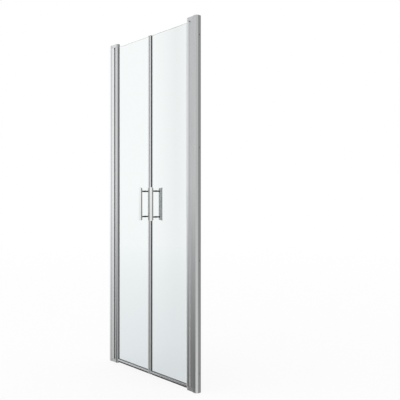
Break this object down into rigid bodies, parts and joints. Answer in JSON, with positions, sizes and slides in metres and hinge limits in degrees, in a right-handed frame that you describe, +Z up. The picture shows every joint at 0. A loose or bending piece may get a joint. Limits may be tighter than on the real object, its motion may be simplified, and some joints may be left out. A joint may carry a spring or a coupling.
{
  "type": "hinged shower door",
  "caption": "Framed glass shower door for a niche: saloon leaves on pivot tubes between wall jambs, with magnetic meeting seals, bottom sweeps and pull bars.",
  "frame": {"origin": "on the tray, midway between the two walls, in the middle plane of the closed glass", "axes": "+X along the opening to the right seen from the room, +Y into the shower, +Z up"},
  "size_m": [0.8, 0.078, 1.95],
  "materials": {
    "aluminium_profile": "satin anodised",
    "arm_casting": "satin, die-cast",
    "glass": "clear toughened, polished",
    "polished_handle": "polished",
    "steel": "turned",
    "soft_seal": "soft, half clear",
    "gasket": "soft, matt",
    "magnet": "ferrite-filled strip",
    "grey_plastic": "moulded, fine grain",
    "pale_plastic": "moulded, low friction"
  },
  "bodies": {
    "frame": {"right_wall_channel": "aluminium_profile", "right_adjusting_post": "aluminium_profile", "right_top_pivot_arm": "arm_casting", "right_bottom_pivot_arm": "arm_casting", "right_top_pivot_pin": "steel", "right_bottom_pivot_pin": "steel", "right_thrust_washer": "pale_plastic", "right_post_seal": "soft_seal", "right_channel_top_plug": "grey_plastic", "right_locking_screws": "steel", "right_screw_caps": "grey_plastic", "left_wall_channel": "aluminium_profile", "left_adjusting_post": "aluminium_profile", "left_top_pivot_arm": "arm_casting", "left_bottom_pivot_arm": "arm_casting", "left_top_pivot_pin": "steel", "left_bottom_pivot_pin": "steel", "left_thrust_washer": "pale_plastic", "left_post_seal": "soft_seal", "left_channel_top_plug": "grey_plastic", "left_locking_screws": "steel", "left_screw_caps": "grey_plastic"},
    "leaf_right": {"right_glass": "glass", "right_hinge_tube": "aluminium_profile", "right_hinge_gasket": "gasket", "right_top_bush": "pale_plastic", "right_bottom_bush": "pale_plastic", "right_meeting_stile": "aluminium_profile", "right_stile_caps": "grey_plastic", "right_magnetic_seal": "soft_seal", "right_seal_magnet": "magnet", "right_bottom_rail": "aluminium_profile", "right_bottom_sweep": "gasket", "right_glazing_gaskets": "gasket", "right_handle_front_bar": "polished_handle", "right_handle_back_bar": "polished_handle", "right_handle_stands": "polished_handle", "right_handle_washers": "pale_plastic", "right_handle_sleeves": "pale_plastic", "right_handle_studs": "steel"},
    "leaf_left": {"left_glass": "glass", "left_hinge_tube": "aluminium_profile", "left_hinge_gasket": "gasket", "left_top_bush": "pale_plastic", "left_bottom_bush": "pale_plastic", "left_meeting_stile": "aluminium_profile", "left_stile_caps": "grey_plastic", "left_magnetic_seal": "soft_seal", "left_seal_magnet": "magnet", "left_bottom_rail": "aluminium_profile", "left_bottom_sweep": "gasket", "left_glazing_gaskets": "gasket", "left_handle_front_bar": "polished_handle", "left_handle_back_bar": "polished_handle", "left_handle_stands": "polished_handle", "left_handle_washers": "pale_plastic", "left_handle_sleeves": "pale_plastic", "left_handle_studs": "steel"}
  },
  "joints": [
    {"name": "leaf_right_swing", "type": "hinge", "parent": "frame", "child": "leaf_right", "pos_m": [0.3267, 0, 0.975], "axis": [0, 0, 1], "range_deg": [-90, 90]},
    {"name": "leaf_left_swing", "type": "hinge", "parent": "frame", "child": "leaf_left", "pos_m": [-0.3267, 0, 0.975], "axis": [0, 0, -1], "range_deg": [-90, 90]}
  ]
}
